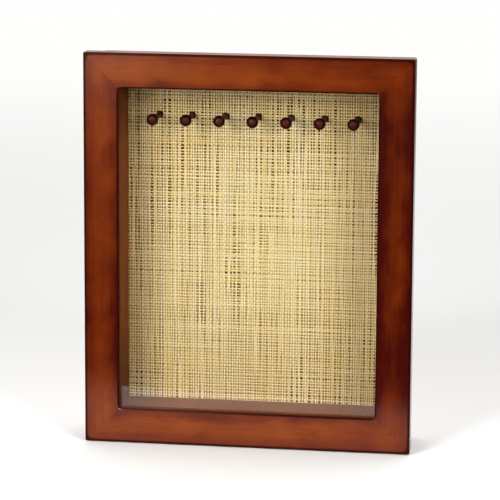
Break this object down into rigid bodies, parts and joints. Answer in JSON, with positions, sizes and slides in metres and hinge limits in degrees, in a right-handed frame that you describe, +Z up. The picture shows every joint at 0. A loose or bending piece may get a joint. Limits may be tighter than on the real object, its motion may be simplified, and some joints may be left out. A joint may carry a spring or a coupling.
{
  "type": "glazed peg display case",
  "caption": "Upright wooden shadow box with a hinged, mitred and glazed front frame, a woven raffia back panel and a row of turned pegs for necklaces, keys or keepsakes.",
  "frame": {"origin": "under the middle of the closed case's box, on the surface it stands on", "axes": "+X to the right seen from the front, +Y from the glass towards the back, +Z up"},
  "size_m": [0.356, 0.082, 0.428],
  "materials": {
    "frame_wood": "red-brown stain under satin lacquer",
    "case_wood": "red-brown stain, satin",
    "peg_wood": "very dark mahogany stain, gloss lacquer",
    "raffia": "plain-woven natural raffia, matte to satin",
    "plywood": "unfinished birch plywood",
    "glass": "clear float glass, polished",
    "brass": "brushed brass",
    "zinc_steel": "bright zinc plate",
    "magnet": "nickel plate",
    "clear_polymer": "clear soft polyurethane"
  },
  "bodies": {
    "case": {"case_left": "case_wood", "case_right": "case_wood", "case_bottom": "case_wood", "case_top": "case_wood", "back_panel": "plywood", "raffia_panel": "raffia", "peg_1": "peg_wood", "peg_2": "peg_wood", "peg_3": "peg_wood", "peg_4": "peg_wood", "peg_5": "peg_wood", "peg_6": "peg_wood", "peg_7": "peg_wood", "panel_screw_left_low": "zinc_steel", "panel_screw_left_high": "zinc_steel", "panel_screw_right_low": "zinc_steel", "panel_screw_right_high": "zinc_steel", "panel_screw_bottom_left": "zinc_steel", "panel_screw_bottom_right": "zinc_steel", "panel_screw_top_left": "zinc_steel", "panel_screw_top_right": "zinc_steel", "hanger_screw_left_low": "zinc_steel", "hanger_screw_left_high": "zinc_steel", "hanger_screw_right_low": "zinc_steel", "hanger_screw_right_high": "zinc_steel", "hanger_plate_left": "zinc_steel", "hanger_plate_right": "zinc_steel", "hinge_case_leaf_lower": "brass", "hinge_case_leaf_upper": "brass", "hinge_pin_lower": "brass", "hinge_pin_upper": "brass", "case_leaf_screw_lower_low": "brass", "case_leaf_screw_lower_high": "brass", "case_leaf_screw_upper_low": "brass", "case_leaf_screw_upper_high": "brass", "catch_magnet": "magnet", "door_bumper_lower": "clear_polymer", "door_bumper_upper": "clear_polymer"},
    "door": {"door_stile_left": "frame_wood", "door_stile_right": "frame_wood", "door_rail_bottom": "frame_wood", "door_rail_top": "frame_wood", "glass_pane": "glass", "glass_stop_left": "frame_wood", "glass_stop_right": "frame_wood", "glass_stop_bottom": "frame_wood", "glass_stop_top": "frame_wood", "hinge_door_leaf_lower": "brass", "hinge_door_leaf_upper": "brass", "catch_strike": "zinc_steel", "catch_strike_screw": "zinc_steel", "door_leaf_screw_lower_low": "brass", "door_leaf_screw_lower_high": "brass", "door_leaf_screw_upper_low": "brass", "door_leaf_screw_upper_high": "brass"}
  },
  "joints": [
    {"name": "door_hinge", "type": "hinge", "parent": "case", "child": "door", "pos_m": [-0.1738, -0.0192, 0.2145], "axis": [0, 0, -1], "range_deg": [0, 120]}
  ]
}
